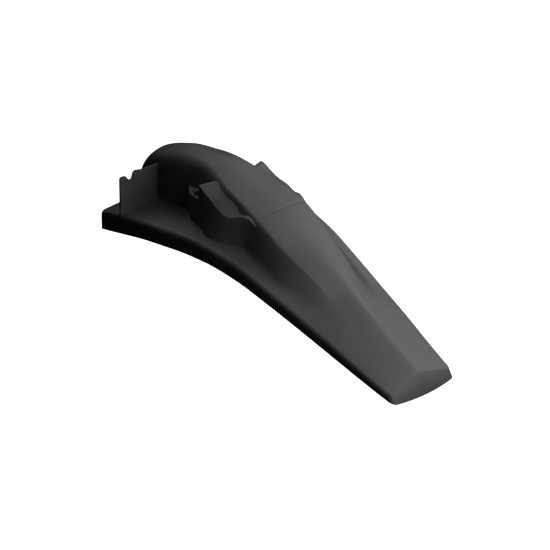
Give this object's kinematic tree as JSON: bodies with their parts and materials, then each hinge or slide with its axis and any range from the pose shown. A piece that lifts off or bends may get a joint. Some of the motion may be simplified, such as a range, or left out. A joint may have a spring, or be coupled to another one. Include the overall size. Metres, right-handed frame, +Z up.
{
  "type": "motorcycle rear fender",
  "caption": "One-piece moulded rear fender for an off-road motorcycle: domed nose, raised spine with stepped shoulders, side ledges with a turned-down skirt all round and a tapering tail.",
  "frame": {"origin": "centre of the front bolt pair, on the underside of the pads in the front flange", "axes": "+X to the tail, +Y to the bike's right-hand side, +Z up as mounted, with the front flange level"},
  "size_m": [0.6177, 0.254, 0.2823],
  "materials": {
    "shell": "black moulded polypropylene, semi-matte"
  },
  "bodies": {
    "root": {"rear_fender": "shell"}
  },
  "joints": []
}
